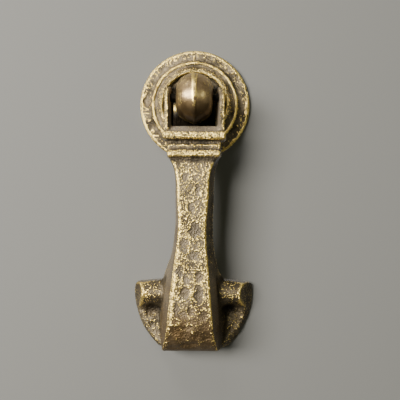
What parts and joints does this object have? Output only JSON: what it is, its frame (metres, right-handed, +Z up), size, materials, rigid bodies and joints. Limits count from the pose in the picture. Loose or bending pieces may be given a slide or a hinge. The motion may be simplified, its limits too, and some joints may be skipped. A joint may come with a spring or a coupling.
{
  "type": "pendant drop pull",
  "caption": "Hammered cast-brass drop pull: ringed round backplate, keeled post, yoked shank with a half-moon finger foot swinging on a pin.",
  "frame": {"origin": "centre of the backplate's back face, at the mouth of the screw hole, on the door's surface", "axes": "+Z up the door, -Y out of the door towards the user, +X across it to the right as seen from the front"},
  "size_m": [0.0346, 0.0185, 0.0864],
  "materials": {
    "aged_brass": "aged brown patina, hammered and cast, worn bright on its edges",
    "worn_brass": "smooth aged brass, rubbed brighter on the keel",
    "pin_metal": "dull drawn brass"
  },
  "bodies": {
    "mounting": {"backplate": "aged_brass", "post": "worn_brass"},
    "handle": {"drop": "aged_brass", "hinge_pin": "pin_metal"}
  },
  "joints": [
    {"name": "drop_swing", "type": "hinge", "parent": "mounting", "child": "handle", "pos_m": [0, -0.0115, 0], "axis": [-1, 0, 0], "range_deg": [0, 180]}
  ]
}
